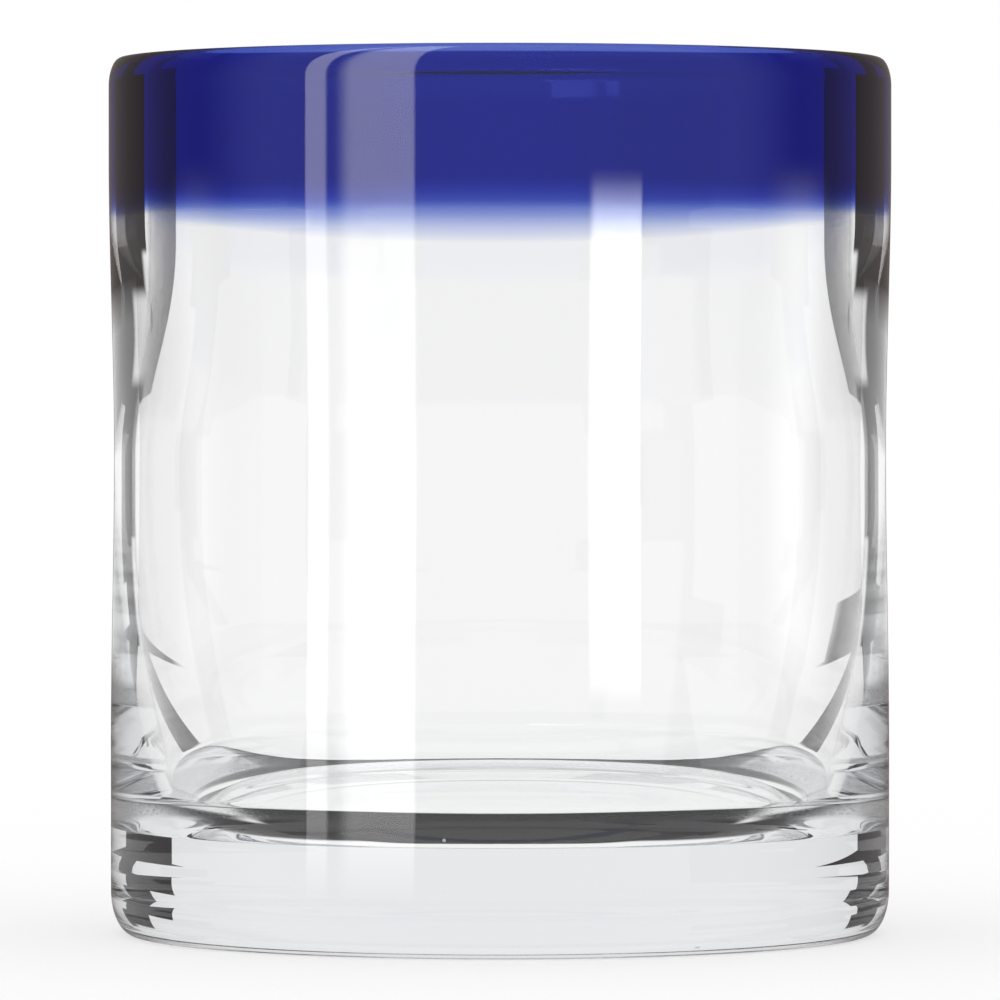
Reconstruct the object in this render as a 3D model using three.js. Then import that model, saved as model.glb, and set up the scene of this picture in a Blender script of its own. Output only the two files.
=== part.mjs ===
// Rocks glass: a heavy-based clear tumbler with a cobalt rim, two glasses fused to one wall.
// Millimetres, +Z up. The origin is the centre of the ring that the glass stands on.

import * as THREE from "three";

// Outside: a straight foot, a barely drawn-in waist and a straight rim, joined by smooth curves
const HEIGHT = 99.5;
const RIM_DIAMETER = 89;
const WAIST_INSET = 0.6;
const FOOT_INSET = 0.2;
const RIM_STRAIGHT = 11.5;
const WAIST_DEPTH = 44.5;
const FOOT_STRAIGHT = 21;

// Foot corner: a quarter ellipse, taller than wide
const FOOT_CORNER_HEIGHT = 5;
const FOOT_CORNER_WIDTH = 2.6;

// Lip: as thick as the wall there, with its crest near the outside, a shoulder taller than wide
// outside it and a low, wide round inside
const LIP_THICKNESS = 4.4;
const LIP_SHOULDER_HEIGHT = 3.2;
const LIP_SHOULDER_WIDTH = 1.4;
const LIP_INNER_HEIGHT = 1.2;

// Inside: a straight mouth, a thin belly, a wall that thickens steadily below it, and a soft cone
// at the heel down to a flat floor
const MOUTH_STRAIGHT = 19.5;
const BELLY_TOP = 54;
const BELLY_FOOT = 48;
const BELLY_WALL = 2;
const HEEL_WALL = 5.8;
const HEEL_RISE = 4.2;
const HEEL_REACH = 5.5;
const HEEL_POWER = 1.15;
const FLOOR_THICKNESS = 11.7;

// Underside: a flat bearing ring round a shallow, flat push-up
const BEARING_RING_WIDTH = 5;
const PUSH_UP = 0.5;
const PUSH_UP_SLOPE = 5;

// Cobalt band: full depth at the lip, thinned to an edge on the outside by a conical scarf
const BAND_HEIGHT = 17.9;
const SCARF_RISE = 3.4;

// Facets of the revolved surfaces
const TURN_STEPS = 64;
const OUTER_STEPS = 20;
const INNER_STEPS = 24;
const BAND_STEPS = 5;
const LIP_STEPS = 8;
const HEEL_STEPS = 8;
const FOOT_STEPS = 6;

// Radii and levels that follow from the sizes above
const rimRadius = RIM_DIAMETER / 2;
const waistRadius = rimRadius - WAIST_INSET;
const footRadius = rimRadius - FOOT_INSET;
const mouthRadius = rimRadius - LIP_THICKNESS;
const waistLevel = HEIGHT - WAIST_DEPTH;
const mouthLevel = HEIGHT - MOUTH_STRAIGHT;
const bellyRadius = outerRadius((BELLY_TOP + BELLY_FOOT) / 2) - BELLY_WALL;
const heelLevel = FLOOR_THICKNESS + HEEL_RISE;
const heelRadius = footRadius - HEEL_WALL;
const floorRadius = heelRadius - HEEL_REACH;
const bearingOuter = footRadius - FOOT_CORNER_WIDTH;
const bearingInner = bearingOuter - BEARING_RING_WIDTH;
const scarfFoot = HEIGHT - BAND_HEIGHT;
const scarfTop = scarfFoot + SCARF_RISE;

function outerRadius(level) {
  const towardsRim = THREE.MathUtils.smoothstep(level, waistLevel, HEIGHT - RIM_STRAIGHT);
  const towardsFoot = 1 - THREE.MathUtils.smoothstep(level, FOOT_STRAIGHT, waistLevel);
  return waistRadius + WAIST_INSET * towardsRim + (footRadius - waistRadius) * towardsFoot;
}

function innerRadius(level) {
  const towardsMouth = THREE.MathUtils.smoothstep(level, BELLY_TOP, mouthLevel);
  const belowBelly = Math.max(BELLY_FOOT - level, 0) / (BELLY_FOOT - heelLevel);
  return (
    bellyRadius + (mouthRadius - bellyRadius) * towardsMouth + (heelRadius - bellyRadius) * belowBelly ** 2
  );
}

// A row of profile points (radius, level) from a rule that takes a share from 0 to 1
function stretch(steps, rule) {
  return Array.from({ length: steps + 1 }, (_, i) => new THREE.Vector2(...rule(i / steps)));
}

function wall(radiusAt, from, to, steps) {
  return stretch(steps, (share) => {
    const level = THREE.MathUtils.lerp(from, to, share);
    return [radiusAt(level), level];
  });
}

// Underside, from the axis out: the push-up ends in an eased slope where the bearing ring starts
function pushUp() {
  const slope = stretch(FOOT_STEPS, (share) => [
    bearingInner - PUSH_UP_SLOPE * (1 - share),
    PUSH_UP * (1 - THREE.MathUtils.smoothstep(share, 0, 1)),
  ]);
  return [new THREE.Vector2(0, PUSH_UP), ...slope];
}

function footCorner() {
  return stretch(FOOT_STEPS, (share) => {
    const turn = (share * Math.PI) / 2;
    return [
      bearingOuter + FOOT_CORNER_WIDTH * Math.sin(turn),
      FOOT_CORNER_HEIGHT * (1 - Math.cos(turn)),
    ];
  });
}

// Two quarter ellipses over the top of the wall, which meet at the crest
function lip() {
  const crest = rimRadius - LIP_SHOULDER_WIDTH;
  const shoulder = stretch(LIP_STEPS, (share) => {
    const turn = (share * Math.PI) / 2;
    return [
      crest + LIP_SHOULDER_WIDTH * Math.cos(turn),
      HEIGHT - LIP_SHOULDER_HEIGHT * (1 - Math.sin(turn)),
    ];
  });
  const inside = stretch(LIP_STEPS, (share) => {
    const turn = (share * Math.PI) / 2;
    return [
      crest - (crest - mouthRadius) * Math.sin(turn),
      HEIGHT - LIP_INNER_HEIGHT * (1 - Math.cos(turn)),
    ];
  });
  return [...shoulder, ...inside];
}

// Quarter of a superellipse, close to a cone, from the heel of the inside wall down to the floor
function heelCurve() {
  return stretch(HEEL_STEPS, (share) => {
    const turn = (share * Math.PI) / 2;
    const across = Math.max(Math.cos(turn), 0) ** (2 / HEEL_POWER);
    const down = Math.sin(turn) ** (2 / HEEL_POWER);
    return [floorRadius + HEEL_REACH * across, heelLevel - HEEL_RISE * down];
  });
}

// Joins stretches end to end and drops the points that two neighbours share
function profile(...stretches) {
  const points = stretches.flat();
  return points.filter((point, i) => i === 0 || point.distanceTo(points[i - 1]) > 1e-6);
}

// Turns a profile round Z into a closed body
function revolve(name, points, material) {
  const geometry = new THREE.LatheGeometry(points, TURN_STEPS);
  geometry.rotateX(Math.PI / 2);
  const mesh = new THREE.Mesh(geometry, material);
  mesh.name = name;
  return mesh;
}

const clearGlass = new THREE.MeshStandardMaterial({
  color: 0xf1f3f3,
  roughness: 0.02,
  metalness: 0,
  transparent: true,
  opacity: 0.3,
});

const cobaltGlass = new THREE.MeshStandardMaterial({
  color: 0x2e3589,
  roughness: 0.02,
  metalness: 0,
  transparent: true,
  opacity: 0.8,
});

// Clear body: wall, heavy base and bearing ring, with the scarf as its upper edge
const clearBody = revolve(
  "clear_glass_body",
  profile(
    pushUp(),
    footCorner(),
    wall(outerRadius, FOOT_CORNER_HEIGHT, scarfFoot, OUTER_STEPS),
    wall(innerRadius, scarfTop, heelLevel, INNER_STEPS),
    heelCurve(),
    [new THREE.Vector2(0, FLOOR_THICKNESS)],
  ),
  clearGlass,
);

// Cobalt band: the top of the wall with the lip, closed below by the same scarf
const cobaltBand = revolve(
  "cobalt_rim_band",
  profile(
    wall(outerRadius, scarfFoot, HEIGHT - LIP_SHOULDER_HEIGHT, BAND_STEPS),
    lip(),
    wall(innerRadius, HEIGHT - LIP_INNER_HEIGHT, scarfTop, BAND_STEPS),
    [new THREE.Vector2(outerRadius(scarfFoot), scarfFoot)],
  ),
  cobaltGlass,
);

const rocksGlass = new THREE.Group();
rocksGlass.add(clearBody, cobaltBand);

export default rocksGlass;
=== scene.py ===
import math

import bmesh
import bpy
import numpy as np
from mathutils import Matrix, Vector


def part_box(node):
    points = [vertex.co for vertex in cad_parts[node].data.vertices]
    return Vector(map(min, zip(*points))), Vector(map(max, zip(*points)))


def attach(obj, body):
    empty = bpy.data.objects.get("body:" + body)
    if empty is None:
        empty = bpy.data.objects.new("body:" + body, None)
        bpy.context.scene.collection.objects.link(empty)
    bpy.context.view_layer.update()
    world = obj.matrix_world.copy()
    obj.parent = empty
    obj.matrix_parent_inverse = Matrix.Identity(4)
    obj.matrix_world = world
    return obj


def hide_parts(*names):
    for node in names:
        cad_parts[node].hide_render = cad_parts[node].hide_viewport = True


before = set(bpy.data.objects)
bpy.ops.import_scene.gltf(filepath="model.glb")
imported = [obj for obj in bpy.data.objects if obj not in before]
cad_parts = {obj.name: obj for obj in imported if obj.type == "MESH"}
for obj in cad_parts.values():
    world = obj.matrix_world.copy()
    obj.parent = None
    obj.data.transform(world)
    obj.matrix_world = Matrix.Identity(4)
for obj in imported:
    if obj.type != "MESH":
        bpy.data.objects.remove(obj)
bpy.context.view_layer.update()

# Clear glass body
# Wall and heavy base are one gather of clear soda-lime glass, blown and tooled by hand: nearly
# straight outside, thinnest at the belly, and thicker down to a soft heel and a flat floor.
# Its upper edge is a conical scarf, which the cobalt glass is fused to.

MM = 0.001
band_low, band_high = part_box("cobalt_rim_band")
rim_radius = band_high[0]
height = band_high[2]
scarf_foot = band_low[2]
scarf_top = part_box("clear_glass_body")[1][2]

# Outside: a straight foot with a rounded corner, a waist drawn in a little and a straight rim
WAIST_INSET = 0.6 * MM
FOOT_INSET = 0.2 * MM
RIM_STRAIGHT = 11.5 * MM
WAIST_DEPTH = 44.5 * MM
FOOT_STRAIGHT = 21 * MM
FOOT_CORNER_HEIGHT = 5 * MM
FOOT_CORNER_WIDTH = 2.6 * MM
waist_radius = rim_radius - WAIST_INSET
foot_radius = rim_radius - FOOT_INSET
waist_level = height - WAIST_DEPTH

# Underside: a flat bearing ring round a shallow push-up
BEARING_RING_WIDTH = 5 * MM
PUSH_UP = 0.5 * MM
PUSH_UP_SLOPE = 5 * MM
bearing_outer = foot_radius - FOOT_CORNER_WIDTH
bearing_inner = bearing_outer - BEARING_RING_WIDTH

# Inside: a straight mouth, a thin belly, a wall that thickens below it, and a heel close to a cone
LIP_THICKNESS = 4.4 * MM
MOUTH_STRAIGHT = 19.5 * MM
BELLY_TOP = 54 * MM
BELLY_FOOT = 48 * MM
BELLY_WALL = 2 * MM
HEEL_WALL = 5.8 * MM
HEEL_RISE = 4.2 * MM
HEEL_REACH = 5.5 * MM
HEEL_POWER = 1.15
FLOOR_LEVEL = 11.7 * MM
mouth_radius = rim_radius - LIP_THICKNESS
mouth_level = height - MOUTH_STRAIGHT
heel_level = FLOOR_LEVEL + HEEL_RISE
heel_radius = foot_radius - HEEL_WALL
floor_radius = heel_radius - HEEL_REACH


def eased(level, low, high):
    share = np.clip((level - low) / (high - low), 0, 1)
    return share * share * (3 - 2 * share)


def outer_radius(level):
    to_rim = eased(level, waist_level, height - RIM_STRAIGHT)
    to_foot = 1 - eased(level, FOOT_STRAIGHT, waist_level)
    return waist_radius + (rim_radius - waist_radius) * to_rim + (foot_radius - waist_radius) * to_foot


belly_radius = outer_radius((BELLY_TOP + BELLY_FOOT) / 2) - BELLY_WALL


def inner_radius(level):
    to_mouth = eased(level, BELLY_TOP, mouth_level)
    to_heel = np.clip((BELLY_FOOT - level) / (BELLY_FOOT - heel_level), 0, 1) ** 2
    return belly_radius + (mouth_radius - belly_radius) * to_mouth + (heel_radius - belly_radius) * to_heel


def wall(radius_at, start, end, count):
    levels = np.linspace(start, end, count)
    return np.column_stack((radius_at(levels), levels))


def underside(count):
    share = np.linspace(0, 1, count)
    step = bearing_inner - PUSH_UP_SLOPE * (1 - share)
    dish = np.column_stack((step, PUSH_UP * (1 - eased(share, 0, 1))))
    turn = np.linspace(0, math.pi / 2, count)
    corner = np.column_stack((
        bearing_outer + FOOT_CORNER_WIDTH * np.sin(turn),
        FOOT_CORNER_HEIGHT * (1 - np.cos(turn)),
    ))
    return np.vstack(([[0, PUSH_UP]], dish, corner))


def floor_of_glass(count):
    turn = np.linspace(0, math.pi / 2, count)
    curve = np.column_stack((
        floor_radius + HEEL_REACH * np.abs(np.cos(turn)) ** (2 / HEEL_POWER),
        heel_level - HEEL_RISE * np.sin(turn) ** (2 / HEEL_POWER),
    ))
    flat = np.column_stack((np.linspace(floor_radius, 0, count), np.full(count, FLOOR_LEVEL)))
    return np.vstack((curve, flat))


SAME_POINT = 1e-8


def run_together(*stretches):
    points = np.vstack(stretches)
    steps = np.linalg.norm(np.diff(points, axis=0), axis=1)
    return points[np.concatenate(([True], steps > SAME_POINT))]


def node(tree, kind, inputs=(), **settings):
    made = tree.nodes.new(kind)
    for name, value in settings.items():
        setattr(made, name, value)
    for key, value in dict(inputs).items():
        if isinstance(value, bpy.types.NodeSocket):
            tree.links.new(value, made.inputs[key])
        else:
            made.inputs[key].default_value = value
    return made


MERGE_DISTANCE = 1e-7
WAVE_DETAIL = 1.0
ON_JOINT = 0.99


def spinning_tree():
    """Spins a profile (radius on X, level on Z) round Z into a closed skin, with hand-made waves in it."""
    tree = bpy.data.node_groups.new("spun_glass", "GeometryNodeTree")
    face = tree.interface
    face.new_socket("Profile", in_out="INPUT", socket_type="NodeSocketGeometry")
    face.new_socket("Turn Steps", in_out="INPUT", socket_type="NodeSocketInt")
    face.new_socket("Wave Depth", in_out="INPUT", socket_type="NodeSocketFloat")
    face.new_socket("Wave Length", in_out="INPUT", socket_type="NodeSocketFloat")
    face.new_socket("Glass", in_out="INPUT", socket_type="NodeSocketMaterial")
    face.new_socket("Skin", in_out="OUTPUT", socket_type="NodeSocketGeometry")
    given = tree.nodes.new("NodeGroupInput").outputs

    def whole(operation, a, b):
        return node(tree, "FunctionNodeIntegerMath", {0: a, 1: b}, operation=operation).outputs[0]

    def number(operation, a, b=0.0):
        return node(tree, "ShaderNodeMath", {0: a, 1: b}, operation=operation).outputs[0]

    size = node(tree, "GeometryNodeAttributeDomainSize", {"Geometry": given["Profile"]})
    columns = whole("ADD", given["Turn Steps"], 1)
    grid = node(
        tree,
        "GeometryNodeMeshGrid",
        {"Vertices X": size.outputs["Point Count"], "Vertices Y": columns},
    )
    index = tree.nodes.new("GeometryNodeInputIndex").outputs[0]
    row = whole("DIVIDE_FLOOR", index, columns)
    column = whole("MODULO", index, columns)
    place = tree.nodes.new("GeometryNodeInputPosition").outputs[0]
    on_profile = node(
        tree,
        "GeometryNodeSampleIndex",
        {"Geometry": given["Profile"], "Index": row},
        data_type="FLOAT_VECTOR",
    )
    tree.links.new(place, on_profile.inputs["Value"])
    angle = number("DIVIDE", number("MULTIPLY", column, -2 * math.pi), given["Turn Steps"])
    turned = node(
        tree,
        "ShaderNodeVectorRotate",
        {"Vector": on_profile.outputs[0], "Angle": angle},
        rotation_type="Z_AXIS",
    )
    spun = node(
        tree,
        "GeometryNodeSetPosition",
        {"Geometry": grid.outputs["Mesh"], "Position": turned.outputs[0]},
    )
    joint_here = node(tree, "GeometryNodeInputNamedAttribute", {"Name": "joint"}, data_type="FLOAT")
    joint_row = node(
        tree,
        "GeometryNodeSampleIndex",
        {"Geometry": given["Profile"], "Index": row},
        data_type="FLOAT",
    )
    tree.links.new(joint_here.outputs[0], joint_row.inputs["Value"])
    marked = node(
        tree,
        "GeometryNodeStoreNamedAttribute",
        {"Geometry": spun.outputs[0], "Name": "joint", "Value": joint_row.outputs[0]},
        data_type="FLOAT",
        domain="POINT",
    )
    closed = node(
        tree,
        "GeometryNodeMergeByDistance",
        {"Geometry": marked.outputs[0], "Distance": MERGE_DISTANCE},
    )
    # Waves draw the wall in towards the axis, never out, and leave every level as it is
    wave_scale = number("DIVIDE", 1.0, given["Wave Length"])
    wave = node(
        tree,
        "ShaderNodeTexNoise",
        {"Vector": place, "Scale": wave_scale, "Detail": WAVE_DETAIL},
    )
    drawn_in = number("SUBTRACT", 1.0, number("MULTIPLY", wave.outputs[0], given["Wave Depth"]))
    shrink = node(tree, "ShaderNodeCombineXYZ", {0: drawn_in, 1: drawn_in, 2: 1.0}).outputs[0]
    waved = node(tree, "ShaderNodeVectorMath", {0: place, 1: shrink}, operation="MULTIPLY")
    shaped = node(
        tree,
        "GeometryNodeSetPosition",
        {"Geometry": closed.outputs[0], "Position": waved.outputs[0]},
    )
    # Faces and edges whose corners all lie on the joint belong to it
    skin = node(
        tree,
        "GeometryNodeStoreNamedAttribute",
        {
            "Geometry": shaped.outputs[0],
            "Name": "skin",
            "Value": number("LESS_THAN", joint_here.outputs[0], ON_JOINT),
        },
        data_type="FLOAT",
        domain="FACE",
    )
    creased = node(
        tree,
        "GeometryNodeStoreNamedAttribute",
        {
            "Geometry": skin.outputs[0],
            "Name": "sharp_edge",
            "Value": number("GREATER_THAN", joint_here.outputs[0], ON_JOINT),
        },
        data_type="BOOLEAN",
        domain="EDGE",
    )
    smooth = node(tree, "GeometryNodeSetShadeSmooth", {"Geometry": creased.outputs[0]})
    real = node(tree, "GeometryNodeRealizeInstances", {"Geometry": smooth.outputs[0]})
    dressed = node(
        tree,
        "GeometryNodeSetMaterial",
        {"Geometry": real.outputs[0], "Material": given["Glass"]},
    )
    out = tree.nodes.new("NodeGroupOutput")
    tree.links.new(dressed.outputs[0], out.inputs["Skin"])
    return tree


spun_glass = spinning_tree()
TURN_STEPS = 256
WAVE_DEPTH = 0.0005
WAVE_LENGTH = 40 * MM


def spin(name, points, joint_rows, melt):
    """A piece of glass from its profile. The rows that are named lie on the fused joint."""
    outline = bpy.data.meshes.new(name)
    rows = range(len(points))
    outline.from_pydata([(r, 0, z) for r, z in points], list(zip(rows, rows[1:])), [])
    joint = outline.attributes.new("joint", "FLOAT", "POINT")
    joint.data.foreach_set("value", [float(i in joint_rows) for i in rows])
    piece = bpy.data.objects.new(name, outline)
    bpy.context.collection.objects.link(piece)
    lathe = piece.modifiers.new("spin", "NODES")
    lathe.node_group = spun_glass
    values = {
        "Turn Steps": TURN_STEPS,
        "Wave Depth": WAVE_DEPTH,
        "Wave Length": WAVE_LENGTH,
        "Glass": melt,
    }
    for socket in spun_glass.interface.items_tree:
        if socket.in_out == "INPUT" and socket.name in values:
            lathe[socket.identifier] = values[socket.name]
    made = piece.evaluated_get(bpy.context.evaluated_depsgraph_get())
    mesh = bpy.data.meshes.new_from_object(made)
    piece.modifiers.remove(lathe)
    piece.data = mesh
    return piece


GLASS_IOR = 1.5
REAM_SCALE = (18.0, 18.0, 90.0)
REAM_DEPTH = 0.006 * MM
REAM_DETAIL = 1.0
SCUFF_HIGH = 0.2 * MM
SCUFF_ROUGHNESS = 0.45
SCUFF_SCALE = 1500.0
SCUFF_DETAIL = 4.0


def glass(name, absorbs, density):
    """Fire-polished glass that takes light up with depth, and lets it pass unbent at the fused joint."""
    material = bpy.data.materials.new(name)
    material.use_nodes = True
    tree = material.node_tree
    tree.nodes.clear()
    skin = node(tree, "ShaderNodeAttribute", attribute_name="skin")
    place = node(tree, "ShaderNodeTexCoord").outputs["Object"]
    # Ream: faint rings that turning the hot glass leaves, long round the wall and short up it
    drawn = node(tree, "ShaderNodeMapping", {"Vector": place, "Scale": REAM_SCALE}).outputs[0]
    ream = node(
        tree,
        "ShaderNodeTexNoise",
        {"Vector": drawn, "Scale": 1.0, "Detail": REAM_DETAIL},
    ).outputs[0]
    rippled = node(tree, "ShaderNodeBump", {"Strength": 1.0, "Distance": REAM_DEPTH, "Height": ream})
    # Scuffs: fine scratches that only the ring on the table picks up in use
    level = node(tree, "ShaderNodeSeparateXYZ", {0: place}).outputs["Z"]
    rubbed = node(
        tree,
        "ShaderNodeMapRange",
        {"Value": level, "From Min": 0.0, "From Max": SCUFF_HIGH, "To Min": SCUFF_ROUGHNESS, "To Max": 0.0},
    ).outputs[0]
    scratches = node(
        tree,
        "ShaderNodeTexNoise",
        {"Vector": place, "Scale": SCUFF_SCALE, "Detail": SCUFF_DETAIL},
    ).outputs[0]
    scuffed = node(
        tree,
        "ShaderNodeMath",
        {0: rubbed, 1: scratches},
        operation="MULTIPLY",
    ).outputs[0]
    surface = node(
        tree,
        "ShaderNodeBsdfPrincipled",
        {
            "Base Color": (1, 1, 1, 1),
            "Roughness": scuffed,
            "IOR": GLASS_IOR,
            "Transmission Weight": 1.0,
            "Alpha": skin.outputs["Fac"],
            "Normal": rippled.outputs[0],
        },
    )
    depth = node(tree, "ShaderNodeVolumeAbsorption", {"Color": absorbs, "Density": density})
    out = tree.nodes.new("ShaderNodeOutputMaterial")
    tree.links.new(surface.outputs[0], out.inputs["Surface"])
    tree.links.new(depth.outputs[0], out.inputs["Volume"])
    return material


# Points along each stretch of the profile
UNDERSIDE_POINTS = 24
OUTSIDE_POINTS = 90
INSIDE_POINTS = 120
FLOOR_POINTS = 40
CLEAR_COLOUR = (0.10, 0.22, 0.30, 1)
CLEAR_DENSITY = 1.9
clear_glass = glass("clear_glass", CLEAR_COLOUR, CLEAR_DENSITY)
below_joint = run_together(
    underside(UNDERSIDE_POINTS),
    wall(outer_radius, FOOT_CORNER_HEIGHT, scarf_foot, OUTSIDE_POINTS),
)
body_profile = run_together(
    below_joint,
    wall(inner_radius, scarf_top, heel_level, INSIDE_POINTS),
    floor_of_glass(FLOOR_POINTS),
)
clear_body = spin(
    "clear_body",
    body_profile,
    {len(below_joint) - 1, len(below_joint)},
    clear_glass,
)

# Seeds: tiny bubbles that stayed in the thick base when the glass was gathered.
# Each has its place and its radius in millimetres.
SEEDS = (
    (-5.9, -40.0, 12.9, 0.20),
    (13.2, 14.0, 11.3, 0.20),
)
seeded = bmesh.new()
seeded.from_mesh(clear_body.data)
skin_mark = seeded.faces.layers.float["skin"]
for x, y, z, radius in SEEDS:
    spot = Matrix.Translation(Vector((x, y, z)) * MM)
    bubble = bmesh.ops.create_icosphere(seeded, subdivisions=2, radius=radius * MM, matrix=spot)
    bubble_faces = list({face for point in bubble["verts"] for face in point.link_faces})
    for face in bubble_faces:
        face[skin_mark] = 1.0
        face.smooth = True
    bmesh.ops.reverse_faces(seeded, faces=bubble_faces)
seeded.to_mesh(clear_body.data)
seeded.free()
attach(clear_body, "root")
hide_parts("clear_glass_body")

# Cobalt rim band
# A ring of cobalt glass fused on at the top of the wall and melted round into the lip. It is as
# thick as the wall at the lip and thins to an edge on the outside, so its blue fades out below.

FUSED_GAP = 0.01 * MM
LIP_SHOULDER_HEIGHT = 3.2 * MM
LIP_SHOULDER_WIDTH = 1.4 * MM
LIP_INNER_HEIGHT = 1.2 * MM


def lip(count):
    turn = np.linspace(0, math.pi / 2, count)
    crest = rim_radius - LIP_SHOULDER_WIDTH
    outside = np.column_stack((
        crest + LIP_SHOULDER_WIDTH * np.cos(turn),
        height - LIP_SHOULDER_HEIGHT * (1 - np.sin(turn)),
    ))
    inside = np.column_stack((
        crest - (crest - mouth_radius) * np.sin(turn),
        height - LIP_INNER_HEIGHT * (1 - np.cos(turn)),
    ))
    return np.vstack((outside, inside))


BAND_OUTSIDE_POINTS = 40
BAND_INSIDE_POINTS = 30
LIP_POINTS = 40
COBALT_COLOUR = (0, 0.19, 0.758, 1)
COBALT_DENSITY = 640.0
cobalt_glass = glass("cobalt_glass", COBALT_COLOUR, COBALT_DENSITY)
band_start = scarf_foot + FUSED_GAP
band_profile = run_together(
    wall(outer_radius, band_start, height - LIP_SHOULDER_HEIGHT, BAND_OUTSIDE_POINTS),
    lip(LIP_POINTS),
    wall(inner_radius, height - LIP_INNER_HEIGHT, scarf_top + FUSED_GAP, BAND_INSIDE_POINTS),
    [[outer_radius(band_start), band_start]],
)
last = len(band_profile) - 1
cobalt_band = spin("cobalt_band", band_profile, {0, last - 1, last}, cobalt_glass)
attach(cobalt_band, "root")
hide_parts("cobalt_rim_band")

# Studio
# A pale floor, and paper cards that only the glass sees: white ones close round it, with dark gaps
# between them that draw its edges, and bright ones at the front that show as windows on its wall.

FLOOR_HALF = 20.0
FLOOR_WHITE = (1, 1, 1, 1)
FLOOR_LIFT = 0.5
floor_mesh = bpy.data.meshes.new("floor")
floor_mesh.from_pydata(
    [(x * FLOOR_HALF, y * FLOOR_HALF, 0) for x, y in ((-1, -1), (1, -1), (1, 1), (-1, 1))],
    [],
    [(0, 1, 2, 3)],
)
floor = bpy.data.objects.new("floor", floor_mesh)
bpy.context.collection.objects.link(floor)
floor.visible_transmission = False
floor.visible_glossy = False
floor_paint = bpy.data.materials.new("floor_paint")
floor_paint.use_nodes = True
paint = floor_paint.node_tree
paint.nodes.clear()
matt = node(paint, "ShaderNodeBsdfDiffuse", {"Color": FLOOR_WHITE}).outputs[0]
bright = node(paint, "ShaderNodeEmission", {"Color": FLOOR_WHITE, "Strength": 1.0}).outputs[0]
to_camera = node(paint, "ShaderNodeLightPath").outputs["Is Camera Ray"]
lift = node(paint, "ShaderNodeMath", {0: to_camera, 1: FLOOR_LIFT}, operation="MULTIPLY").outputs[0]
lifted = node(paint, "ShaderNodeMixShader", {0: lift, 1: matt, 2: bright}).outputs[0]
paint.links.new(lifted, paint.nodes.new("ShaderNodeOutputMaterial").inputs["Surface"])
floor_mesh.materials.append(floor_paint)


def card(name, points, faces, glow, sees):
    """Glowing paper that only one kind of ray sees. Its points carry how much of it is there, 0 to 1."""
    mesh = bpy.data.meshes.new(name)
    mesh.from_pydata([point for point, _ in points], [], faces)
    there = mesh.attributes.new("there", "FLOAT", "POINT")
    there.data.foreach_set("value", [share for _, share in points])
    made = bpy.data.objects.new(name, mesh)
    bpy.context.collection.objects.link(made)
    for ray in ("camera", "diffuse", "glossy", "transmission", "shadow", "volume_scatter"):
        setattr(made, "visible_" + ray, ray == sees)
    paper = bpy.data.materials.new(name)
    paper.use_nodes = True
    paper.cycles.emission_sampling = "NONE"
    tree = paper.node_tree
    tree.nodes.clear()
    shown = node(tree, "ShaderNodeAttribute", attribute_name="there").outputs["Fac"]
    clear = node(tree, "ShaderNodeBsdfTransparent").outputs[0]
    light = node(tree, "ShaderNodeEmission", {"Color": (1, 1, 1, 1), "Strength": glow}).outputs[0]
    mixed = node(tree, "ShaderNodeMixShader", {0: shown, 1: clear, 2: light})
    out = tree.nodes.new("ShaderNodeOutputMaterial")
    tree.links.new(mixed.outputs[0], out.inputs["Surface"])
    mesh.materials.append(paper)


# White cards stand close to the glass on its four sides, with dark gaps at the corners. They are
# narrower at the rim, which darkens the band's sides, and dim just above it.
CARD_DISTANCE = 118 * MM
CARD_HALF_WIDTH = 90 * MM
FOOT_LEFT = -100 * MM
FOOT_RIGHT = 63 * MM
RIM_HALF_WIDTH = 71 * MM
FOOT_HIGH = 16 * MM
RIM_FOOT = 86 * MM
CARD_HIGH = 103 * MM
DIM_HIGH = 160 * MM
UPPER_HIGH = 500 * MM
CARD_GLOW = 0.94
DIM_GLOW = 0.3
QUARTERS = [Matrix.Rotation(quarter * math.pi / 2, 3, "Z") for quarter in range(4)]


def on_four_sides(name, corners, glow):
    points = [(turn @ Vector(corner), 1.0) for turn in QUARTERS for corner in corners]
    count = len(corners)
    card(name, points, [range(count * i, count * i + count) for i in range(4)], glow, "transmission")


for name, left, right, foot, top, glow in (
    ("foot_cards", FOOT_LEFT, FOOT_RIGHT, 0, FOOT_HIGH, CARD_GLOW),
    ("backing_cards", -CARD_HALF_WIDTH, CARD_HALF_WIDTH, FOOT_HIGH, RIM_FOOT, CARD_GLOW),
    ("rim_cards", -RIM_HALF_WIDTH, RIM_HALF_WIDTH, RIM_FOOT, CARD_HIGH, CARD_GLOW),
    ("dim_cards", -RIM_HALF_WIDTH, RIM_HALF_WIDTH, CARD_HIGH, DIM_HIGH, DIM_GLOW),
    ("upper_cards", -RIM_HALF_WIDTH, RIM_HALF_WIDTH, DIM_HIGH, UPPER_HIGH, CARD_GLOW),
):
    on_four_sides(
        name,
        [
            (left, CARD_DISTANCE, foot),
            (right, CARD_DISTANCE, foot),
            (right, CARD_DISTANCE, top),
            (left, CARD_DISTANCE, top),
        ],
        glow,
    )

# White paper on the table, with a dark ring under the foot that draws the line at the heel, and
# narrow gaps at the corners that draw the lines low on the wall
# The dark ring is painted shade: between INNER_TABLE and TABLE_START the paper stops and the dark room
# shows, standing for the table lying in the glass's own shadow.
INNER_TABLE = 27 * MM
TABLE_START = 48.5 * MM
TABLE_RING_END = 68 * MM
TABLE_END = 130 * MM
TABLE_SPREAD = math.radians(40)
TABLE_POINTS = 13
TABLE_GLOW = 0.95


def on_table(radius, spread):
    turns = np.linspace(spread, -spread, TABLE_POINTS)
    return [(radius * math.sin(turn), radius * math.cos(turn), 0) for turn in turns]


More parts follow.
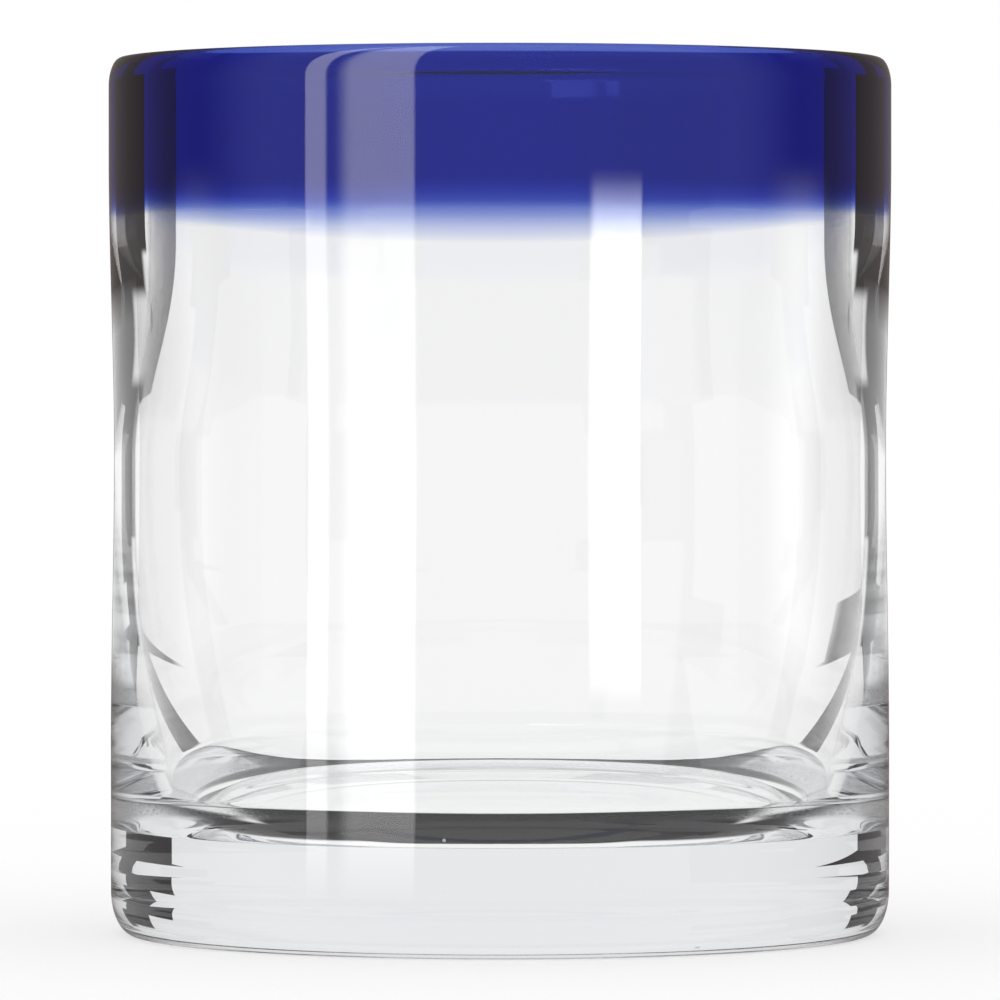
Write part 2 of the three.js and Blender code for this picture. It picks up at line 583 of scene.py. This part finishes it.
for name, spread, start, end in (
    ("inner_table_cards", math.pi / 4, 0, INNER_TABLE),
    ("table_ring_cards", math.pi / 4, TABLE_START, TABLE_RING_END),
    ("table_cards", TABLE_SPREAD, TABLE_RING_END, TABLE_END),
):
    near = on_table(start, spread)[::-1] if start else [(0, 0, 0)]
    on_four_sides(name, on_table(end, spread) + near, TABLE_GLOW)

REFLECTED_DISTANCE = 120 * MM
REFLECTED_COLUMNS = 25
REFLECTED_ROWS = 41


def reflected_card(name, azimuths, levels, soft_sides, soft_ends, glow):
    """An upright card near the front of the glass, which fades out towards its sides and ends."""
    points = []
    for up in np.linspace(0, 1, REFLECTED_ROWS):
        for side in np.linspace(0, 1, REFLECTED_COLUMNS):
            turn = math.radians(azimuths[0] + (azimuths[1] - azimuths[0]) * side)
            level = levels[0] + (levels[1] - levels[0]) * up
            spot = (REFLECTED_DISTANCE * math.sin(turn), -REFLECTED_DISTANCE * math.cos(turn), level)
            share = (
                eased(side, 0, soft_sides[0])
                * (1 - eased(side, 1 - soft_sides[1], 1))
                * eased(level, levels[0], levels[0] + soft_ends[0])
                * (1 - eased(level, levels[1] - soft_ends[1], levels[1]))
            )
            points.append((spot, share))
    row = REFLECTED_COLUMNS
    faces = [
        (row * j + i, row * j + i + 1, row * j + row + i + 1, row * j + row + i)
        for j in range(REFLECTED_ROWS - 1)
        for i in range(row - 1)
    ]
    card(name, points, faces, glow, "glossy")


# Windows that only reflections show: two tall ones at the front left, a short one at the front
# right and a dim one far round on each side. Each row gives azimuths in degrees, levels, the share
# of the width that each side fades over, the length that each end fades over, and the glow.
TALL_LEVELS = (1 * MM, 420 * MM)
TALL_ENDS = (7 * MM, 1 * MM)
TALL_GLOW = 4.2
SHORT_LEVELS = (25 * MM, 87 * MM)
SHORT_ENDS = (10 * MM, 8 * MM)
SHORT_GLOW = 9.0
SIDE_LEVELS = (22 * MM, 90 * MM)
SIDE_ENDS = (14 * MM, 14 * MM)
SIDE_FADES = (0.5, 0.5)
RIGHT_SIDE_GLOW = 2.6
LEFT_SIDE_GLOW = 1.3
for window in (
    ("wide_window", (-40.2, -19.6), TALL_LEVELS, (0.25, 0.04), TALL_ENDS, TALL_GLOW),
    ("narrow_window", (-47.9, -41.5), TALL_LEVELS, (0.06, 0.2), TALL_ENDS, TALL_GLOW),
    ("right_window", (20.6, 34.1), SHORT_LEVELS, (0.15, 0.04), SHORT_ENDS, SHORT_GLOW),
    ("right_side_glow", (66, 96), SIDE_LEVELS, SIDE_FADES, SIDE_ENDS, RIGHT_SIDE_GLOW),
    ("left_side_glow", (-96, -70), SIDE_LEVELS, SIDE_FADES, SIDE_ENDS, LEFT_SIDE_GLOW),
):
    reflected_card(*window)

# Pale panels beside the back cards, which the wall's edges mirror at a grazing angle. Each level
# has the share of the panel that is there.
EDGE_SPANS = ((62 * MM, 128 * MM), (-128 * MM, -62 * MM))
EDGE_LEVELS = ((24 * MM, 0.0), (30 * MM, 1.0), (68 * MM, 1.0), (74 * MM, 0.0))
EDGE_GLOW = 0.95
edge_points = []
edge_faces = []
for turn in QUARTERS:
    for span in EDGE_SPANS:
        first = len(edge_points)
        for level, share in EDGE_LEVELS:
            edge_points += [(turn @ Vector((across, CARD_DISTANCE, level)), share) for across in span]
        edge_faces += [(i, i + 1, i + 3, i + 2) for i in range(first, len(edge_points) - 2, 2)]
card("edge_panels", edge_points, edge_faces, EDGE_GLOW, "glossy")

# World
# White to the camera and to the floor. Rays that the glass bends see a dark room with a pale ceiling
# and pale patches ahead and at the corners, and rays that it mirrors see a pale front and dim sides.

DARK = (0.042, 0.041, 0.043, 1)
WHITE = (1, 1, 1, 1)
CEILING = (0.9, 0.9, 0.9, 1)
PATCH = (0.94, 0.94, 0.94, 1)
FRONT = (0.62, 0.62, 0.63, 1)
SIDES = (0.20, 0.17, 0.16, 1)
world = bpy.data.worlds.new("studio")
bpy.context.scene.world = world
world.use_nodes = True
world.cycles.sampling_method = "NONE"
sky = world.node_tree
sky.nodes.clear()


def sky_number(operation, a, b=0.0):
    return node(sky, "ShaderNodeMath", {0: a, 1: b}, operation=operation).outputs[0]


def past(value, angles, at_low=0.0, at_high=1.0):
    """A soft step between two angles, given in degrees."""
    low, high = (math.radians(angle) for angle in angles)
    made = node(
        sky,
        "ShaderNodeMapRange",
        {"Value": value, "From Min": low, "From Max": high, "To Min": at_low, "To Max": at_high},
        interpolation_type="SMOOTHSTEP",
    )
    return made.outputs[0]


def blend(share, a, b):
    made = node(sky, "ShaderNodeMix", {0: share}, data_type="RGBA")
    for socket, value in ((made.inputs[6], a), (made.inputs[7], b)):
        if isinstance(value, bpy.types.NodeSocket):
            sky.links.new(value, socket)
        else:
            socket.default_value = value
    return made.outputs[2]


# Edges of the pale parts, each between two angles: in elevation, and in azimuth off the nearest side
CEILING_EDGE = (50, 62)
RAISED_EDGE = (13, 15)
LOW_CORNER_EDGE = (7, 9)
LEVEL_EDGE = (-5.2, -4.5)
# Below STEEP_EDGE the pale ground gives way to the dark room: painted shade for the table under the glass,
# which lies in the glass's shadow.
STEEP_EDGE = (-40, -36)
AHEAD_EDGE = (10, 13)
BESIDE_EDGE = (24, 28)
CORNER_EDGE = (31, 34)
FAR_CORNER_EDGE = (37, 40)
FRONT_EDGE = (80, 110)
towards = node(sky, "ShaderNodeTexCoord").outputs["Generated"]
direction = node(sky, "ShaderNodeSeparateXYZ", {0: towards}).outputs
azimuth = sky_number("ARCTAN2", direction[0], direction[1])
elevation = sky_number("ARCSINE", direction[2])
aside = sky_number("PINGPONG", azimuth, math.pi / 4)
below_level = past(elevation, LEVEL_EDGE, 1.0, 0.0)
not_steep = past(elevation, STEEP_EDGE)
ahead = past(aside, AHEAD_EDGE, 1.0, 0.0)
at_corner = past(aside, CORNER_EDGE)
downward = sky_number("MULTIPLY", below_level, not_steep)
ground = sky_number("MULTIPLY", downward, sky_number("ADD", ahead, at_corner))
raised = sky_number("MULTIPLY", past(elevation, RAISED_EDGE), past(aside, BESIDE_EDGE))
low_corner = sky_number("MULTIPLY", past(elevation, LOW_CORNER_EDGE), past(aside, FAR_CORNER_EDGE))
lit = sky_number("MAXIMUM", ground, sky_number("MAXIMUM", raised, low_corner))
bent = blend(lit, blend(past(elevation, CEILING_EDGE), DARK, CEILING), PATCH)
mirrored = blend(past(sky_number("ABSOLUTE", azimuth), FRONT_EDGE), SIDES, FRONT)
path = node(sky, "ShaderNodeLightPath").outputs
off_floor = sky_number("GREATER_THAN", path["Diffuse Depth"], 0.5)
seen = blend(path["Is Glossy Ray"], WHITE, mirrored)
seen = blend(path["Is Transmission Ray"], seen, bent)
seen = blend(off_floor, seen, WHITE)
surround = node(sky, "ShaderNodeBackground", {"Color": seen, "Strength": 1.0})
sky_out = sky.nodes.new("ShaderNodeOutputWorld")
sky.links.new(surround.outputs[0], sky_out.inputs["Surface"])

# Camera
# Stands 0.9 m in front of the glass, level with the upper half of its wall, and looks a little
# down on the foot. The square frame is FIELD wide at the glass.

CAMERA_DISTANCE = 0.9
CAMERA_HEIGHT = 0.0627
AIM_LEVEL = 0.0493
FIELD = 0.1139
SENSOR = 36.0
NEAREST = 0.05
FARTHEST = 100
BOUNCES = 32
lens = bpy.data.cameras.new("camera")
lens.sensor_width = SENSOR
lens.lens = SENSOR * CAMERA_DISTANCE / FIELD
lens.clip_start = NEAREST
lens.clip_end = FARTHEST
camera = bpy.data.objects.new("camera", lens)
bpy.context.collection.objects.link(camera)
camera_out = math.sqrt(CAMERA_DISTANCE**2 - (CAMERA_HEIGHT - AIM_LEVEL) ** 2)
camera_spot = Vector((0, -camera_out, CAMERA_HEIGHT))
aim = (Vector((0, 0, AIM_LEVEL)) - camera_spot).to_track_quat("-Z", "Y")
camera.matrix_world = Matrix.Translation(camera_spot) @ aim.to_matrix().to_4x4()
scene = bpy.context.scene
scene.camera = camera
scene.view_settings.view_transform = "Standard"
scene.cycles.max_bounces = BOUNCES
scene.cycles.transmission_bounces = BOUNCES
scene.cycles.glossy_bounces = BOUNCES
scene.cycles.transparent_max_bounces = BOUNCES
